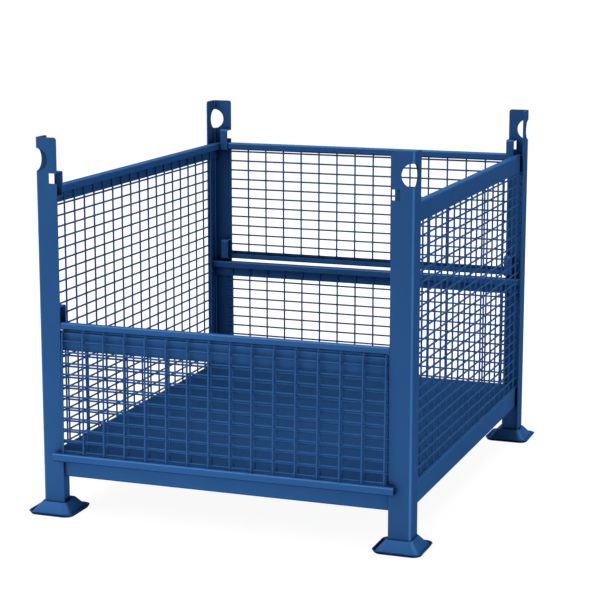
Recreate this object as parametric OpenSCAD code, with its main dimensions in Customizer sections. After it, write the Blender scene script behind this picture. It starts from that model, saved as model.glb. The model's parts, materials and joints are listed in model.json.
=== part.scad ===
// Steel pallet cage: welded frame on four pressed feet, mesh walls, and a drop-down flap
// in the upper half of the front and of the back.
// Frame: origin on the floor under the middle, X left to right, Y front to back, Z up.
// Both flaps are drawn in one local frame: origin on the hinge axis, +Y into the cage,
// +Z up the closed flap.

/* [Overall size] */
// Width over the corner posts, left to right
cage_w = 1035; // [915:20:1275]
// Depth over the corner posts, front to back
cage_d = 1220; // [1040:20:1460]
// Height over the corner posts, from the floor
cage_h = 1020; // [960:10:1200]

/* [Corner posts] */
// Width of each post flange
post_leg = 60; // [56:1:75]
// Sheet thickness of the posts, guides and leg angles
post_t = 4; // [3:0.5:5]
// Outer bend radius of the posts and guides
post_bend_r = 7; // [5.5:0.5:9]
// Radius of the flanges' upper free corners
post_tip_r = 8; // [4:1:14]
// Diameter of the crane eye, punched flat before the post is bent
eye_d = 60; // [40:2:64]
// Crane eye centre below the post's top
eye_drop = 59; // [50:1:62]
// Crane eye centre in from the post's outer corner
eye_in = 4.5; // [2:0.5:6]

/* [Feet] */
// Side of the foot's turned-up rim
foot_w = 135; // [125:1:150]
// Height of the foot
foot_h = 32; // [26:1:40]
// Sheet thickness of the foot
foot_t = 3; // [2:0.5:4]
// Side of the flat plate on top of the foot
foot_top_w = 70; // [68:1:76]
// Side of the pyramid where it meets the gutter
foot_skirt_w = 122; // [110:1:124]
// Height of the rim above the floor
foot_rim_h = 8; // [5:1:10]
// Height of the closed leg between the foot and the base rail
leg_h = 71; // [50:1:110]
// How far the leg closing angle stays in from the flanges' free edges
leg_angle_in = 7; // [4:1:12]

/* [Base] */
// How far the faces of all rails lie behind the posts' outer faces
rail_recess = 10; // [8.5:0.5:11]
// Height of the base rails
base_h = 60; // [45:1:80]
// Depth of the base rails' flanges
base_depth = 30; // [25:1:36]
// Sheet thickness of the base rails and cross members
base_t = 3; // [2:0.5:4]
// Number of cross members under the floor
cross_member_count = 3; // [2:1:5]
// Thickness of the floor sheet
floor_t = 3; // [2:0.5:4]
// Gap between the floor sheet and the wall wires
floor_gap = 0.4; // [0.3:0.1:3]

/* [Top and middle rails] */
// Height of the side rails' top below the posts' top
side_rail_drop = 134; // [125:1:150]
// Distance of the fixed rails' top below the hinge axis
mid_rail_drop = 17.5; // [17:0.5:25]
// Height of the rails' outer leg
rail_h = 50; // [40:1:60]
// Width of the rails
rail_w = 24; // [20:0.5:25]
// Height of the rails' inner lip
rail_lip_h = 20; // [12:1:30]
// Sheet thickness of the rails and flap rails
rail_t = 2.5; // [2:0.25:3]
// Outer bend radius of the rails
rail_bend_r = 5; // [4:0.5:6]

/* [Mesh] */
// Diameter of the wires
wire_d = 5; // [4:0.25:6]
// Spacing of the upright wires
upright_pitch = 60; // [40:5:80]
// Spacing of the cross wires
row_pitch = 30; // [25:1:50]
// First cross wire above the base rail
first_row_rise = 6; // [5:0.5:12]
// How far the cross wires lap behind the post flanges
wire_lap = 20; // [10:1:22]
// Running gap left at the wires' weld points
weld_gap = 0.1; // [0.05:0.05:0.2]

/* [Flaps] */
// Height of the hinge axis above the floor, flap lowered
hinge_z = 519; // [500:1:560]
// Hinge axis behind the posts' outer faces
hinge_in = 9.5; // [9.5:0.5:11]
// Diameter of the hinge bar
bar_d = 10; // [8:0.5:10.5]
// How far the bar's ends stay inside the guides
bar_end_gap = 0.5; // [0.5:0.5:3]
// Radial running clearance of the bar in the hinge rail's end plates
bar_clear = 0.1; // [0.05:0.05:0.2]
// Thickness of the hinge rail's end plates
end_plate_t = 3; // [2:0.5:5]
// Height of the hinge rail's end plates
end_plate_h = 18.5; // [16:0.5:20]
// Depth of the hinge rail
hinge_rail_depth = 18; // [16:0.5:18]
// Outer face of the hinge rail's base beyond the hinge axis
hinge_base_drop = 9; // [8.5:0.5:9.5]
// Height of the hinge rail's inner leg
hinge_inner_h = 15.5; // [14:0.5:17]
// Height of the hinge rail's outer leg, which covers the slit above the fixed rail
hinge_outer_h = 23.5; // [18:0.5:24]
// Height of the free rail
free_rail_h = 22; // [18:1:26]
// Depth of the free rail
free_rail_depth = 20; // [14:1:20]
// How far the mesh is cranked into the cage from the hinge axis
crank = 13; // [10:0.5:13]
// Gap between the hinge bar and the lower ends of the cranked wires
wire_bar_gap = 0.6; // [0.4:0.1:1]
// Straight start of the cranked wires above the hinge rail's inner leg
crank_start = 2; // [1:0.5:6]
// Length of the cranked stretch along the flap
crank_run = 12; // [10:1:16]
// How much thicker the cranked wires are at their bends
knee_swell = 0.1; // [0.05:0.05:0.3]
// First cross wire of the flap above the hinge axis
flap_first_row = 40; // [34:1:60]
// Swing of the flap from closed to hanging outside, in degrees
flap_swing = 178.5; // [177:0.1:179]
// How far the flap lifts to leave its upper guides
flap_lift = 36; // [34:1:40]
// Clearance between the flap and the posts' free edges
flap_side_gap = 1; // [0.5:0.5:3]
// How far the free rail reaches behind each post flange
free_rail_lap = 19.5; // [14:0.5:20]

/* [Flap guides] */
// Width of the guide straps
guide_w = 23; // [22:0.5:24]
// Clear depth between the guide strap and the flange
guide_slot = 29; // [29:0.5:34]
// Seat of the upper guides below the posts' top
guide_seat_drop = 155; // [152:1:158]
// Vertical clearance around the lifted free rail in its notch
notch_clear = 2.5; // [2:0.5:4]
// Room above the lifted hinge bar in its guide
hinge_guide_room = 8; // [4:1:15]
// Clearance of the notch beyond the free rail's end
notch_end_gap = 4; // [2:0.5:5]
// Gap between a resting piece and its seat
rest_gap = 0.3; // [0.1:0.1:0.5]

/* [Hidden] */

$fn = 48;
wire_fn = 24;
hull_fn = 32;
eps = 0.01;
paint = [0.17, 0.33, 0.54];
sheet_paint = [0.14, 0.29, 0.48];
wire_paint = [0.20, 0.38, 0.60];

// Heights
base_bottom = foot_h + leg_h;
base_top = base_bottom + base_h;
side_rail_top = cage_h - side_rail_drop;
mid_rail_top = hinge_z - mid_rail_drop;
seat_z = cage_h - guide_seat_drop;
free_rail_z = seat_z + rest_gap + free_rail_h / 2;
flap_reach = free_rail_z - hinge_z;
lifted_top = free_rail_z + flap_lift + free_rail_h / 2;
notch_bottom = lifted_top - free_rail_h - notch_clear;
notch_top = lifted_top + notch_clear;
bar_seat_z = hinge_z - bar_d / 2 - rest_gap;
bar_stop_z = hinge_z + bar_d / 2 + flap_lift + hinge_guide_room;
eye_z = cage_h - eye_drop;

// Places across the cage
post_edge = cage_w / 2 - post_leg;
wire_in = rail_recess + rail_t + weld_gap + wire_d / 2;
cross_in = wire_in - wire_d - weld_gap;
floor_in = wire_in + wire_d / 2 + floor_gap;
base_tip_x = cage_w / 2 - rail_recess - base_depth;

// Lengths
side_run = cage_d - 2 * post_t;
mid_run = cage_w - 2 * post_t;
bar_l = 2 * (post_edge + guide_w - bar_end_gap);
hinge_rail_l = 2 * (post_edge - flap_side_gap);
free_rail_l = 2 * (post_edge + free_rail_lap);
flap_wire_l = 2 * (post_edge - wire_d / 2);

// Wire counts and first places, set by the clear widths and heights
wire_edge = 1.5 * wire_d;
function fit_count(room, pitch) = floor(room / pitch + 0.001) + 1;
end_uprights = fit_count(2 * (post_edge - wire_edge), upright_pitch);
side_uprights = fit_count(cage_d - 2 * (post_leg + wire_edge), upright_pitch);
first_row_z = base_top + first_row_rise;
row_clear = wire_d / 2 + 1;
side_rows = fit_count(side_rail_top - rail_h - row_clear - first_row_z, row_pitch);
end_rows = fit_count(mid_rail_top - rail_h - row_clear - first_row_z, row_pitch);
flap_wire_top = flap_reach - free_rail_h / 2;
flap_rows = fit_count(flap_wire_top - row_clear - flap_first_row + 1, row_pitch);
flap_wire_y = hinge_rail_depth / 2 - rail_t - weld_gap - wire_d / 2;
flap_wire_bottom = bar_d / 2 + wire_bar_gap;
crank_low = hinge_inner_h - hinge_base_drop + crank_start;
crank_high = crank_low + crank_run;

// Children are drawn at the front left corner: origin on the post's outer corner at the
// floor, +X and +Y along its two flanges
module at_corner(right, back) {
    mirror([right ? 1 : 0, 0, 0])
        mirror([0, back ? 1 : 0, 0])
            translate([-cage_w / 2, -cage_d / 2, 0])
                children();
}

// Children are drawn for the left wall, or for the front wall
module on_side(right) {
    mirror([right ? 1 : 0, 0, 0])
        children();
}

module on_end(back) {
    mirror([0, back ? 1 : 0, 0])
        children();
}

// Children are drawn in the closed flap's own frame
module on_flap(back) {
    on_end(back)
        translate([0, hinge_in - cage_d / 2, hinge_z])
            rotate([back ? 0 : flap_swing, 0, 0])
                children();
}

// Extrusions of a flat profile: its X becomes depth and its Y becomes height
module run_x(length) {
    translate([-length / 2, 0, 0])
        rotate([90, 0, 90])
            linear_extrude(height = length)
                children();
}

module run_y(length) {
    translate([0, length / 2, 0])
        rotate([90, 0, 0])
            linear_extrude(height = length)
                children();
}

// Square plate from the origin with its corner at the origin rounded
module one_round_corner(w, r) {
    translate([r, 0])
        square([w - r, w]);
    translate([0, r])
        square([r, w - r]);
    translate([r, r])
        circle(r = r);
}

// Folded equal angle, outer corner at the origin
module angle_profile(w, t, r) {
    difference() {
        one_round_corner(w, r);
        translate([t, t])
            one_round_corner(w, r - t);
    }
}

// Plate from the origin with its two corners at X = 0 rounded
module two_round_corners(w, h, r) {
    translate([r, 0])
        square([w - r, h]);
    translate([0, r])
        square([r, h - 2 * r]);
    for (y = [r, h - r])
        translate([r, y])
            circle(r = r);
}

// Folded channel: web at X = 0, open towards +X
module channel_profile(w, h, t, r) {
    difference() {
        two_round_corners(w, h, r);
        translate([t, t])
            two_round_corners(w, h - 2 * t, r - t);
    }
}

// Rail with a deep outer leg, a flat top and a short inner lip; outer top corner at the origin
module rail_profile() {
    difference() {
        rotate(-90)
            channel_profile(rail_h, rail_w, rail_t, rail_bend_r);
        translate([rail_w - 2 * rail_t, -rail_h - eps])
            square([3 * rail_t, rail_h - rail_lip_h + eps]);
    }
}

// Corner post: folded angle with crane eye, rounded tips and the flap rail's notch
module post(right, back) {
    color(paint)
        at_corner(right, back)
            difference() {
                translate([0, 0, foot_h])
                    linear_extrude(height = cage_h - foot_h)
                        angle_profile(post_leg, post_t, post_bend_r);
                eye_cut();
                mirror([1, -1, 0])
                    eye_cut();
                tip_cut();
                mirror([1, -1, 0])
                    tip_cut();
                translate([post_leg - free_rail_lap - notch_end_gap, -1, notch_bottom])
                    cube([free_rail_lap + notch_end_gap + 1, post_t + 2, notch_top - notch_bottom]);
            }
}

// The eye's half in the front flange
module eye_cut() {
    translate([eye_in, post_bend_r + 1, eye_z])
        rotate([90, 0, 0])
            cylinder(d = eye_d, h = post_bend_r + 2);
}

// What the front flange loses at its upper free corner
module tip_cut() {
    translate([post_leg - post_tip_r, -1, cage_h - post_tip_r])
        difference() {
            cube([post_tip_r + 1, post_t + 2, post_tip_r + 1]);
            translate([0, post_t + 3, 0])
                rotate([90, 0, 0])
                    cylinder(r = post_tip_r, h = post_t + 4);
        }
}

// Angle that closes the post's inner side between the foot and the base rail
module leg_angle(right, back) {
    reach = post_leg - leg_angle_in;
    color(sheet_paint)
        at_corner(right, back)
            translate([reach, reach, foot_h])
                rotate(180)
                    linear_extrude(height = leg_h)
                        angle_profile(reach - post_t, post_t, post_bend_r);
}

// Square with rounded corners as a thin slice, for the foot's blends
module slice(w, r, z) {
    for (x = [-1, 1], y = [-1, 1])
        translate([x * (w / 2 - r), y * (w / 2 - r), z])
            cylinder(r = r, h = eps, $fn = hull_fn);
}

// Frustum between two rounded squares
module frustum(w1, r1, z1, w2, r2, z2) {
    hull() {
        slice(w1, r1, z1);
        slice(w2, r2, z2 - eps);
    }
}

// Pressed foot: hollow pyramid with a gutter and a turned-up rim, one sheet thickness all over
module foot(right, back) {
    sole_w = foot_skirt_w + 2;
    slope = (foot_skirt_w - foot_top_w) / (foot_h - foot_t);
    wall = 2 * foot_t * sqrt(1 + pow(slope / 2, 2));
    rim_slope = (foot_w - sole_w) / foot_rim_h;
    rim_wall = 2 * foot_t * sqrt(1 + pow(rim_slope / 2, 2));
    gutter_w = sole_w + rim_slope * foot_t - rim_wall;
    color(paint)
        at_corner(right, back)
            translate([post_leg / 2, post_leg / 2, 0])
                difference() {
                    union() {
                        frustum(sole_w, 22, 0, foot_w, 26, foot_rim_h);
                        frustum(foot_skirt_w, 22, foot_t, foot_top_w, 10, foot_h);
                    }
                    difference() {
                        frustum(gutter_w, 20, foot_t, foot_w - rim_wall, 24, foot_rim_h + eps);
                        frustum(foot_skirt_w, 22, foot_t, foot_top_w, 10, foot_h);
                    }
                    frustum(
                        foot_skirt_w + slope * foot_t - wall, 20, -eps,
                        foot_top_w + slope * foot_t - wall, 8, foot_h - foot_t
                    );
                }
}

// Staple-shaped strap: both ends meet the flange's inner face, and the strap stands off it
module guide(right, back, bottom, top) {
    depth = guide_slot + post_t;
    color(paint)
        at_corner(right, back)
            translate([post_leg - guide_w / 2, post_t + depth, bottom])
                run_x(guide_w)
                    mirror([1, 0])
                        channel_profile(depth, top - bottom, post_t, post_bend_r - 1);
}

module top_guide(right, back) {
    guide(right, back, seat_z - post_t, notch_top + post_t);
}

module hinge_guide(right, back) {
    guide(right, back, bar_seat_z - post_t, bar_stop_z + post_t);
}

// Base rail along a side wall, open into the cage
module base_rail_side(right) {
    color(sheet_paint)
        on_side(right)
            translate([rail_recess - cage_w / 2, 0, base_bottom])
                run_y(side_run)
                    channel_profile(base_depth, base_h, base_t, rail_bend_r);
}

// Base rail along the front or back, between the side rails' flanges
module base_rail_end(back) {
    color(sheet_paint)
        on_end(back)
            translate([0, rail_recess - cage_d / 2, base_bottom])
                run_x(2 * base_tip_x)
                    channel_profile(base_depth, base_h, base_t, rail_bend_r);
}

module floor_sheet() {
    size_x = cage_w - 2 * floor_in;
    size_y = cage_d - 2 * floor_in;
    color(sheet_paint)
        translate([-size_x / 2, -size_y / 2, base_top])
            cube([size_x, size_y, floor_t]);
}

// Channels across the cage, between the side rails' flanges
module floor_cross_members() {
    spacing = cage_d / (cross_member_count + 1);
    color(sheet_paint)
        for (i = [1 : cross_member_count])
            translate([0, i * spacing - cage_d / 2 - base_depth / 2, base_bottom])
                run_x(2 * base_tip_x)
                    channel_profile(base_depth, base_h, base_t, rail_bend_r);
}

module side_rail(right) {
    color(paint)
        on_side(right)
            translate([rail_recess - cage_w / 2, 0, side_rail_top])
                run_y(side_run)
                    rail_profile();
}

module lower_rail(back) {
    color(paint)
        on_end(back)
            translate([0, rail_recess - cage_d / 2, mid_rail_top])
                run_x(mid_run)
                    rail_profile();
}

// Upright wire standing on the base rail and ending inside a rail's channel, under its bend
module upright(rail_top) {
    translate([0, 0, base_top])
        cylinder(d = wire_d, h = rail_top - rail_bend_r - weld_gap - base_top, $fn = wire_fn);
}

module cross_wire(length) {
    translate([-length / 2, 0, 0])
        rotate([0, 90, 0])
            cylinder(d = wire_d, h = length, $fn = wire_fn);
}

module side_uprights(right) {
    color(wire_paint)
        on_side(right)
            for (i = [0 : side_uprights - 1])
                translate([wire_in - cage_w / 2, (i - (side_uprights - 1) / 2) * upright_pitch, 0])
                    upright(side_rail_top);
}

module side_crosswires(right) {
    length = cage_d - 2 * (post_leg - wire_lap);
    color(wire_paint)
        on_side(right)
            for (i = [0 : side_rows - 1])
                translate([cross_in - cage_w / 2, 0, first_row_z + i * row_pitch])
                    rotate(90)
                        cross_wire(length);
}

module end_uprights(back) {
    color(wire_paint)
        on_end(back)
            for (i = [0 : end_uprights - 1])
                translate([(i - (end_uprights - 1) / 2) * upright_pitch, wire_in - cage_d / 2, 0])
                    upright(mid_rail_top);
}

module end_crosswires(back) {
    length = 2 * (post_edge + wire_lap);
    color(wire_paint)
        on_end(back)
            for (i = [0 : end_rows - 1])
                translate([0, cross_in - cage_d / 2, first_row_z + i * row_pitch])
                    cross_wire(length);
}

// Round bar on the hinge axis, its ends loose in the hinge guides
module hinge_bar(back) {
    color("silver")
        on_end(back)
            translate([-bar_l / 2, hinge_in - cage_d / 2, hinge_z])
                rotate([0, 90, 0])
                    cylinder(d = bar_d, h = bar_l);
}

// Gutter around the hinge bar, open up the flap: tall outer leg, short inner leg
module hinge_rail_profile() {
    translate([hinge_rail_depth / 2, -hinge_base_drop])
        difference() {
            rotate(90)
                channel_profile(hinge_outer_h, hinge_rail_depth, rail_t, rail_bend_r - 0.5);
            translate([-2 * rail_t, hinge_inner_h])
                square([3 * rail_t, hinge_outer_h]);
        }
}

// Hinge rail with a bored plate on each end
module flap_hinge_rail(back) {
    color(paint)
        on_flap(back)
            difference() {
                union() {
                    run_x(hinge_rail_l)
                        hinge_rail_profile();
                    for (x = [-1, 1])
                        translate([
                            x * (hinge_rail_l - end_plate_t) / 2,
                            hinge_rail_depth / 2,
                            -hinge_base_drop
                        ])
                            run_x(end_plate_t)
                                rotate(90)
                                    two_round_corners(
                                        end_plate_h, hinge_rail_depth, rail_bend_r - 0.5
                                    );
                }
                translate([-hinge_rail_l / 2 - 1, 0, 0])
                    rotate([0, 90, 0])
                        cylinder(d = bar_d + 2 * bar_clear, h = hinge_rail_l + 2);
            }
}

// Channel along the flap's free edge, its ends reaching behind the post flanges
module flap_free_rail(back) {
    color(paint)
        on_flap(back)
            translate([0, crank + free_rail_depth / 2, flap_reach - free_rail_h / 2])
                run_x(free_rail_l)
                    mirror([1, 0])
                        channel_profile(free_rail_depth, free_rail_h, rail_t, rail_bend_r);
}

// One upright of the flap: starts inside the hinge rail, cranked, then straight to the free rail
module cranked_wire() {
    step = crank - flap_wire_y;
    lean = atan2(step, crank_run);
    translate([0, flap_wire_y, flap_wire_bottom])
        cylinder(d = wire_d, h = crank_low - flap_wire_bottom, $fn = wire_fn);
    translate([0, flap_wire_y, crank_low])
        rotate([-lean, 0, 0])
            cylinder(d = wire_d, h = norm([step, crank_run]), $fn = wire_fn);
    translate([0, crank, crank_high])
        cylinder(d = wire_d, h = flap_wire_top - crank_high, $fn = wire_fn);
    for (at = [[flap_wire_y, crank_low], [crank, crank_high]])
        translate([0, at[0], at[1]])
            sphere(d = wire_d + knee_swell, $fn = wire_fn);
}

module flap_uprights(back) {
    color(wire_paint)
        on_flap(back)
            for (i = [0 : end_uprights - 1])
                translate([(i - (end_uprights - 1) / 2) * upright_pitch, 0, 0])
                    cranked_wire();
}

module flap_crosswires(back) {
    color(wire_paint)
        on_flap(back)
            for (i = [0 : flap_rows - 1])
                translate([0, crank - wire_d - weld_gap, flap_first_row + i * row_pitch])
                    cross_wire(flap_wire_l);
}

post(false, false);  // post_front_left
post(true, false);  // post_front_right
post(false, true);  // post_back_left
post(true, true);  // post_back_right
leg_angle(false, false);  // leg_angle_front_left
leg_angle(true, false);  // leg_angle_front_right
leg_angle(false, true);  // leg_angle_back_left
leg_angle(true, true);  // leg_angle_back_right
foot(false, false);  // foot_front_left
foot(true, false);  // foot_front_right
foot(false, true);  // foot_back_left
foot(true, true);  // foot_back_right
top_guide(false, false);  // top_guide_front_left
top_guide(true, false);  // top_guide_front_right
top_guide(false, true);  // top_guide_back_left
top_guide(true, true);  // top_guide_back_right
hinge_guide(false, false);  // hinge_guide_front_left
hinge_guide(true, false);  // hinge_guide_front_right
hinge_guide(false, true);  // hinge_guide_back_left
hinge_guide(true, true);  // hinge_guide_back_right
base_rail_end(false);  // base_rail_front
base_rail_end(true);  // base_rail_back
base_rail_side(false);  // base_rail_left
base_rail_side(true);  // base_rail_right
floor_sheet();
floor_cross_members();
side_rail(false);  // side_rail_left
side_rail(true);  // side_rail_right
lower_rail(false);  // lower_rail_front
lower_rail(true);  // lower_rail_back
side_uprights(false);  // mesh_left_uprights
side_crosswires(false);  // mesh_left_crosswires
side_uprights(true);  // mesh_right_uprights
side_crosswires(true);  // mesh_right_crosswires
end_uprights(false);  // mesh_front_uprights
end_crosswires(false);  // mesh_front_crosswires
end_uprights(true);  // mesh_back_uprights
end_crosswires(true);  // mesh_back_crosswires
hinge_bar(false);  // front_hinge_bar
flap_hinge_rail(false);  // front_flap_hinge_rail
flap_free_rail(false);  // front_flap_free_rail
flap_uprights(false);  // front_flap_uprights
flap_crosswires(false);  // front_flap_crosswires
hinge_bar(true);  // back_hinge_bar
flap_hinge_rail(true);  // back_flap_hinge_rail
flap_free_rail(true);  // back_flap_free_rail
flap_uprights(true);  // back_flap_uprights
flap_crosswires(true);  // back_flap_crosswires
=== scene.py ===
import json
import math

import bpy
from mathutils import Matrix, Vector

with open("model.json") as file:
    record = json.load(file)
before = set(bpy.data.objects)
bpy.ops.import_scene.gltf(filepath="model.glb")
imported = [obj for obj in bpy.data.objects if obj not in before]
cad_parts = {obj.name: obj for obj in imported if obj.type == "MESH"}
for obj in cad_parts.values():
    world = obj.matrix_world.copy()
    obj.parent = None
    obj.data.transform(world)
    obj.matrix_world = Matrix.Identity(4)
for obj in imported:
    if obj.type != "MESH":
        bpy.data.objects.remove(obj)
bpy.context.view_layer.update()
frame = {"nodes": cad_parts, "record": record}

nodes = frame["nodes"]
scene = bpy.context.scene
scene.view_settings.view_transform = "Standard"

# Camera, fitted to the straight edges of the photograph
CAMERA_PLACE = (1.7912, -4.9400, 1.5254)
CAMERA_AZIMUTH = 19.938
CAMERA_DOWN = 10.946
CAMERA_FOCAL_PX = 1860.84
FRAME_PX = 600
SENSOR_MM = 36.0
CLIP_NEAR, CLIP_FAR = 0.05, 100


def add_camera():
    data = bpy.data.cameras.new("camera")
    data.sensor_width = SENSOR_MM
    data.lens = CAMERA_FOCAL_PX / FRAME_PX * SENSOR_MM
    data.clip_start, data.clip_end = CLIP_NEAR, CLIP_FAR
    camera = bpy.data.objects.new("camera", data)
    camera.location = CAMERA_PLACE
    camera.rotation_euler = (math.radians(90 - CAMERA_DOWN), 0, math.radians(CAMERA_AZIMUTH))
    scene.collection.objects.link(camera)
    scene.camera = camera


def linear(r, g, b):
    """Linear colour from 0 to 255 screen values."""
    shares = (c / 255 for c in (r, g, b))
    return tuple(((c + 0.055) / 1.055) ** 2.4 if c > 0.04045 else c / 12.92 for c in shares) + (1,)


# Paint: satin powder coat, with a little metal in it that tints its gloss
PAINT = linear(44, 84, 136)
PAINT_DEEP = linear(41, 82, 132)
# Light colour of the painted highlight on edges, also used for rubbed wear
PAINT_WORN_AND_HIGHLIGHT = linear(58, 104, 160)
# Colour of the painted highlight on rounded bends
PAINT_BEND_HIGHLIGHT = linear(64, 116, 180)
# Colour of the painted shade in crevices and on undersides
PAINT_SHADE = linear(12, 26, 60)
GLOSS_TINT = (0.42, 0.52, 0.80, 1)
WHITE = (1, 1, 1, 1)

# Edges look rounded to this radius. Their painted highlight starts and is full where the turn of
# the normal has these cosines
EDGE_RADIUS = 0.0012
EDGE_SAMPLES = 4
EDGE_START, EDGE_FULL = 0.985, 0.8

# Painted shade darkens crevices where this share of the sky is open within reach
CREVICE_REACH = 0.035
CREVICE_SAMPLES = 6
SKY_OPEN, SKY_SHUT = 0.7, 0.3

# The painted highlight on bends starts and is full where the lesser square of the normal's parts
# has these values, and the painted shade on undersides where the normal's height has these
BEND_START, BEND_FULL = 0.01, 0.15
UNDER_START, UNDER_FULL = -0.05, -0.5

# Noise scales in waves per metre, and the band of each noise that is used
CLOUD_SCALE, CLOUD_BAND = 7, (0.35, 0.65)
GLOSS_SCALE, GLOSS_BAND, GLOSS_SPREAD = 45, (0.3, 0.7), (-0.04, 0.05)
SCUFF_ALONG_X, SCUFF_ALONG_Y, SCUFF_BAND = (6, 160, 6), (150, 5, 6), (0.62, 0.75)
PEEL_SCALE, PEEL_DEPTH = 520, 0.0003


def node(tree, kind, props=None, **values):
    """New shader node: props sets its properties, the rest its sockets by name or number."""
    made = tree.nodes.new("ShaderNode" + kind)
    for key, value in (props or {}).items():
        setattr(made, key, value)
    for key, value in values.items():
        socket = made.inputs[int(key[1:]) if key[0] == "_" else key.replace("_", " ")]
        if isinstance(value, bpy.types.NodeSocket):
            tree.links.new(value, socket)
        else:
            socket.default_value = value
    return made


def noise(tree, place, scale, detail, stretch=(1, 1, 1)):
    """Grey noise from 0 to 1 at a scale in waves per metre."""
    moved = node(tree, "Mapping", Vector=place, Scale=stretch).outputs[0]
    return node(tree, "TexNoise", Vector=moved, Scale=scale, Detail=detail).outputs["Fac"]


def ramp(tree, value, low, high, to_low=0.0, to_high=1.0):
    """Value's span from low to high, spread over to_low to to_high."""
    made = node(tree, "MapRange", Value=value, From_Min=low, From_Max=high,
                To_Min=to_low, To_Max=to_high)
    return made.outputs["Result"]


def span(tree, factor, at_zero, at_one):
    """at_zero where factor is 0, at_one where it is 1."""
    return ramp(tree, factor, 0, 1, at_zero, at_one)


def blend_colors(tree, factor, first, second):
    return node(tree, "Mix", {"data_type": "RGBA"}, _0=factor, _6=first, _7=second).outputs[2]


def math_node(tree, operation, first, second):
    return node(tree, "Math", {"operation": operation}, _0=first, _1=second).outputs[0]


def vector_math(tree, operation, first, second=(0, 0, 0)):
    return node(tree, "VectorMath", {"operation": operation}, _0=first, _1=second).outputs


def edges(tree, rounded):
    """1 on the edges, where a painted highlight lightens the colour."""
    flat = node(tree, "NewGeometry").outputs["Normal"]
    along = vector_math(tree, "DOT_PRODUCT", rounded, flat)["Value"]
    return ramp(tree, along, EDGE_START, EDGE_FULL)


def bends(tree, run):
    """1 on the rounded bends of a folded piece, which get a painted highlight: an "upright" one, or
    one that lies "level".
    """
    normal = node(tree, "TexCoord").outputs["Normal"]
    square = vector_math(tree, "MULTIPLY", normal, normal)[0]
    x, y, z = node(tree, "SeparateXYZ", Vector=square).outputs
    if run == "upright":
        both = math_node(tree, "MINIMUM", x, y)
    else:
        both = math_node(tree, "MINIMUM", math_node(tree, "MAXIMUM", x, y), z)
    return ramp(tree, both, BEND_START, BEND_FULL)


def underside_shade(tree):
    """1 on faces that look down, where shade is painted."""
    normal = node(tree, "TexCoord").outputs["Normal"]
    height = node(tree, "SeparateXYZ", Vector=normal).outputs[2]
    return ramp(tree, height, UNDER_START, UNDER_FULL)


def scuffs(tree, place, strength):
    """Rubbed marks that run along x and along y, up to a strength."""
    along_x = noise(tree, place, 1, 4, SCUFF_ALONG_X)
    along_y = noise(tree, place, 1, 4, SCUFF_ALONG_Y)
    marks = math_node(tree, "MAXIMUM", along_x, along_y)
    return ramp(tree, marks, *SCUFF_BAND, 0.0, strength)


def coat(name, rough=0.34, metal=0.15, peel=0.12, scuff=0.0, tone=1.0, bend_highlight=0.0, run="level",
         under_shade=0.85, crevice_shade=True):
    """Powder coat with slow clouds of tone, painted highlights on edges and orange peel.

    tone scales its colour. bend_highlight is how strong the painted highlight on rounded bends is,
    under_shade how dark the painted shade on undersides is, scuff how strong the rubbed marks are,
    and crevice_shade says if corners get painted shade.
    """
    material = bpy.data.materials.new(name)
    material.use_nodes = True
    tree = material.node_tree
    shader = tree.nodes["Principled BSDF"]
    shader.inputs["Specular IOR Level"].default_value = 0
    shader.inputs["Specular Tint"].default_value = GLOSS_TINT
    shader.inputs["Metallic"].default_value = metal
    place = node(tree, "TexCoord").outputs["Object"]
    rounded = node(tree, "Bevel", {"samples": EDGE_SAMPLES}, Radius=EDGE_RADIUS).outputs[0]

    clouds = ramp(tree, noise(tree, place, CLOUD_SCALE, 3), *CLOUD_BAND)
    deep, plain = (tuple(c * tone for c in paint[:3]) + (1,) for paint in (PAINT_DEEP, PAINT))
    color = blend_colors(tree, clouds, deep, plain)
    # Painted shade: corners with little open sky within reach are darkened toward the shade colour,
    # and lose their metal gloss there
    if crevice_shade:
        open_sky = node(tree, "AmbientOcclusion", {"samples": CREVICE_SAMPLES},
                        Distance=CREVICE_REACH, Normal=rounded).outputs["AO"]
        color = blend_colors(tree, ramp(tree, open_sky, SKY_OPEN, SKY_SHUT), color, PAINT_SHADE)
        if metal:
            shine = ramp(tree, open_sky, SKY_SHUT, SKY_OPEN, 0.0, metal)
            tree.links.new(shine, shader.inputs["Metallic"])
    # Painted highlight: the edges are lightened
    color = blend_colors(tree, edges(tree, rounded), color, PAINT_WORN_AND_HIGHLIGHT)
    # Painted highlight: the rounded bends are lightened
    if bend_highlight:
        color = blend_colors(tree, span(tree, bends(tree, run), 0.0, bend_highlight), color, PAINT_BEND_HIGHLIGHT)
    # Painted shade: faces that look down are darkened
    color = blend_colors(tree, span(tree, underside_shade(tree), 0.0, under_shade), color, PAINT_SHADE)

    gloss = noise(tree, place, GLOSS_SCALE, 3)
    roughness = ramp(tree, gloss, *GLOSS_BAND, *(rough + change for change in GLOSS_SPREAD))
    if scuff:
        marks = scuffs(tree, place, scuff)
        color = blend_colors(tree, marks, color, PAINT_WORN_AND_HIGHLIGHT)
        roughness = math_node(tree, "ADD", roughness, marks)
    tree.links.new(color, shader.inputs["Base Color"])
    tree.links.new(roughness, shader.inputs["Roughness"])
    grain = noise(tree, place, PEEL_SCALE, 1)
    bump = node(tree, "Bump", Strength=peel, Distance=PEEL_DEPTH, Height=grain, Normal=rounded)
    tree.links.new(bump.outputs[0], shader.inputs["Normal"])
    return material


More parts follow.
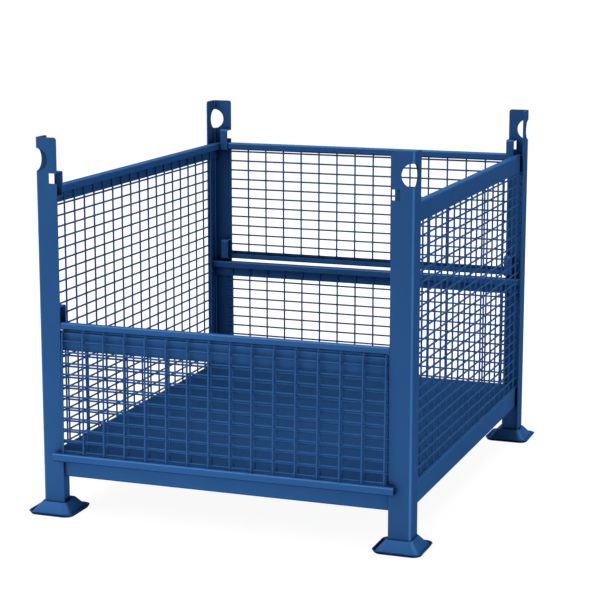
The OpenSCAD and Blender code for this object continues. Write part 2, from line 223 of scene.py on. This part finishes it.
def dress():
    """Give each CAD piece the paint of its slot. The side rails get hardly any painted highlight on
    their bends.
    """
    finishes = {
        # The tones are painted light levels on one blue paint: lighter on feet, rails and wires,
        # darker on the floor sheet in the cage's shade
        "post_paint": coat("post_coat", tone=0.97, bend_highlight=1.0, run="upright"),
        "rail_paint": coat("rail_coat", tone=1.08, bend_highlight=0.85),
        "foot_paint": coat("foot_coat", tone=1.22, bend_highlight=1.0, run="upright"),
        "floor_paint": coat("floor_coat", rough=0.6, metal=0.0, scuff=0.25, tone=0.7),
        "wire_paint": coat("wire_coat", peel=0.05, tone=1.12, under_shade=0.6, crevice_shade=False),
        "bar_paint": coat("bar_coat", scuff=0.3),
    }
    # The side rails have their own tone as painted light, with little painted highlight and lighter
    # painted shade underneath
    side_rail_finish = coat("side_rail_coat", tone=1.02, bend_highlight=0.1, under_shade=0.5)
    slots = {part["node"]: part["material_slot"] for part in frame["record"]["subparts"]}
    for name, piece in nodes.items():
        side_rail = name.startswith("side_rail")
        piece.data.materials.clear()
        piece.data.materials.append(side_rail_finish if side_rail else finishes[slots[name]])


# World: plain white where it is seen, and a low even level where it lights
WORLD_LEVEL = 0.01

# Floor: white where it is seen, with a faint shadow by the cage, and pale where it passes light
# on. Each value changes between its two distances from the cage's middle, in metres.
FLOOR_HALF = 30
FLOOR_DROP = 0.0005
FLOOR_SEEN = 0.16
GLOW_NEAR, GLOW_FAR, GLOW_REACH = 0.93, 1.0, (1.5, 4.0)
BOUNCE_NEAR, BOUNCE_FAR, BOUNCE_REACH = 0.85, 0.3, (1.2, 3.5)

# Pool of light on the floor in front of the cage, which only lights the cage from below
POOL_PLACE = (-0.3, -1.5, 0)
POOL_LEVEL, POOL_REACH = 1.4, (0.4, 1.8)

# Softboxes, all turned to the cage's middle: place, power in watts, width and height in metres
LAMP_TARGET = (0, 0, 0.5)
LAMPS = {
    "left_front": ((-2.93, -5.08, 2.10), 48, (5, 4)),
    "right_front": ((3.61, -4.62, 2.10), 30, (3, 4)),
    "right": ((5.87, 0.00, 2.10), 82, (5, 4)),
    "left_high": ((-3.00, -3.00, 4.74), 195, (5, 4)),
    "back": ((0.00, 4.24, 4.74), 370, (5, 4)),
    "top": ((0.00, 0.00, 6.50), 60, (5, 5)),
}


def light_path_seen(tree):
    """1 for rays that come from the camera, from gloss or through glass."""
    path = node(tree, "LightPath").outputs
    sight = math_node(tree, "MAXIMUM", path["Is Camera Ray"], path["Is Glossy Ray"])
    return math_node(tree, "MAXIMUM", sight, path["Is Transmission Ray"])


def add_world():
    world = bpy.data.worlds.new("studio")
    scene.world = world
    world.use_nodes = True
    tree = world.node_tree
    background = tree.nodes["Background"]
    background.inputs["Color"].default_value = WHITE
    strength = span(tree, light_path_seen(tree), WORLD_LEVEL, 1.0)
    tree.links.new(strength, background.inputs["Strength"])


def floor_material():
    material = bpy.data.materials.new("studio_floor")
    material.use_nodes = True
    tree = material.node_tree
    shader = tree.nodes["Principled BSDF"]
    shader.inputs["Roughness"].default_value = 1
    shader.inputs["Specular IOR Level"].default_value = 0
    shader.inputs["Emission Color"].default_value = WHITE
    seen = light_path_seen(tree)
    place = node(tree, "TexCoord").outputs["Object"]
    away = vector_math(tree, "LENGTH", place)["Value"]
    from_pool = vector_math(tree, "DISTANCE", place, POOL_PLACE)["Value"]
    bounce = ramp(tree, away, *BOUNCE_REACH, BOUNCE_NEAR, BOUNCE_FAR)
    glow = ramp(tree, away, *GLOW_REACH, GLOW_NEAR, GLOW_FAR)
    pool = ramp(tree, from_pool, *POOL_REACH, POOL_LEVEL, 0.0)
    tree.links.new(span(tree, seen, bounce, FLOOR_SEEN), shader.inputs["Base Color"])
    tree.links.new(span(tree, seen, pool, glow), shader.inputs["Emission Strength"])
    return material


def add_floor():
    corners = [(x * FLOOR_HALF, y * FLOOR_HALF, 0) for x, y in ((-1, -1), (1, -1), (1, 1), (-1, 1))]
    mesh = bpy.data.meshes.new("studio_floor")
    mesh.from_pydata(corners, [], [(0, 1, 2, 3)])
    mesh.materials.append(floor_material())
    floor = bpy.data.objects.new("studio_floor", mesh)
    floor.location.z = -FLOOR_DROP
    scene.collection.objects.link(floor)


def add_lamps():
    for name, (place, power, size) in LAMPS.items():
        data = bpy.data.lights.new(name, "AREA")
        data.shape = "RECTANGLE"
        data.size, data.size_y = size
        data.energy = power
        lamp = bpy.data.objects.new(name, data)
        lamp.location = place
        to_target = Vector(LAMP_TARGET) - Vector(place)
        lamp.rotation_euler = to_target.to_track_quat("-Z", "Y").to_euler()
        scene.collection.objects.link(lamp)


add_camera()
dress()
add_world()
add_floor()
add_lamps()
